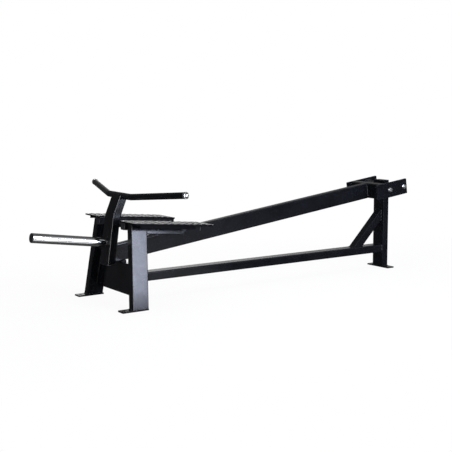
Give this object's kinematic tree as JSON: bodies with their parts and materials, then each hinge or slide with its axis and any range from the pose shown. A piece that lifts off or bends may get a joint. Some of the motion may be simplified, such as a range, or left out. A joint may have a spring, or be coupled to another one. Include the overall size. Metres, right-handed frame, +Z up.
{
  "type": "t-bar row machine",
  "caption": "Weight lever on a bearing yoke, with a bent handlebar and a plate sleeve, over a welded base with two raised foot platforms.",
  "frame": {"origin": "floor under the middle of the overall length, halfway between the sides", "axes": "+X from the weight sleeve to the pivot post, +Y to the far side of the picture, +Z up"},
  "size_m": [2.4466, 1.001, 0.6128],
  "materials": {
    "black_powder_coat": "satin black powder coat on welded steel",
    "black_tread_coat": "black powder coat over chequer plate, polished on its raised lozenges",
    "polished_chrome": "bright chrome plating",
    "ground_steel": "ground bearing steel",
    "zinc_plating": "bright zinc plating",
    "painted_cast_iron": "black painted casting",
    "black_rubber": "matte moulded rubber",
    "black_plastic": "moulded end plugs"
  },
  "bodies": {
    "base": {"base_beam": "black_powder_coat", "bearing_ball_ring_far": "ground_steel", "bearing_ball_ring_near": "ground_steel", "bearing_inner_ring_far": "ground_steel", "bearing_inner_ring_near": "ground_steel", "cross_tube": "black_powder_coat", "edge_angle_far": "black_tread_coat", "edge_angle_near": "black_tread_coat", "front_foot_plate_far": "black_powder_coat", "front_foot_plate_near": "black_powder_coat", "front_leg_far": "black_powder_coat", "front_leg_near": "black_powder_coat", "pivot_post": "black_powder_coat", "pivot_shaft": "ground_steel", "platform_rail_far": "black_powder_coat", "platform_rail_near": "black_powder_coat", "platform_rib_far": "black_powder_coat", "platform_rib_near": "black_powder_coat", "platform_support_far": "black_powder_coat", "platform_support_near": "black_powder_coat", "post_brace": "black_powder_coat", "post_cap": "black_plastic", "rail_plug_front_far": "black_plastic", "rail_plug_front_near": "black_plastic", "rail_plug_rear_far": "black_plastic", "rail_plug_rear_near": "black_plastic", "rear_foot_plate": "black_powder_coat", "rest_pad": "black_rubber", "shaft_spacer_far": "ground_steel", "shaft_spacer_near": "ground_steel", "support_cover_far": "black_powder_coat", "support_cover_near": "black_powder_coat", "tread_plate_far": "black_tread_coat", "tread_plate_near": "black_tread_coat"},
    "lever": {"bearing_bolt_front_far": "zinc_plating", "bearing_bolt_front_near": "zinc_plating", "bearing_bolt_rear_far": "zinc_plating", "bearing_bolt_rear_near": "zinc_plating", "bearing_housing_far": "painted_cast_iron", "bearing_housing_near": "painted_cast_iron", "bearing_nut_front_far": "zinc_plating", "bearing_nut_front_near": "zinc_plating", "bearing_nut_rear_far": "zinc_plating", "bearing_nut_rear_near": "zinc_plating", "bearing_outer_ring_far": "ground_steel", "bearing_outer_ring_near": "ground_steel", "cap_screw_far": "zinc_plating", "cap_screw_near": "zinc_plating", "handlebar": "black_powder_coat", "handlebar_cap_far": "polished_chrome", "handlebar_cap_near": "polished_chrome", "lever_tube": "black_powder_coat", "sleeve_plug": "black_plastic", "upright": "black_powder_coat", "upright_plug": "black_plastic", "weight_sleeve": "polished_chrome", "yoke_cross_tube": "black_powder_coat", "yoke_plate_far": "black_powder_coat", "yoke_plate_near": "black_powder_coat"}
  },
  "joints": [
    {"name": "lever_pivot", "type": "hinge", "parent": "base", "child": "lever", "pos_m": [1.13448, 0, 0.509], "axis": [0, 1, 0], "range_deg": [0, 30]}
  ]
}
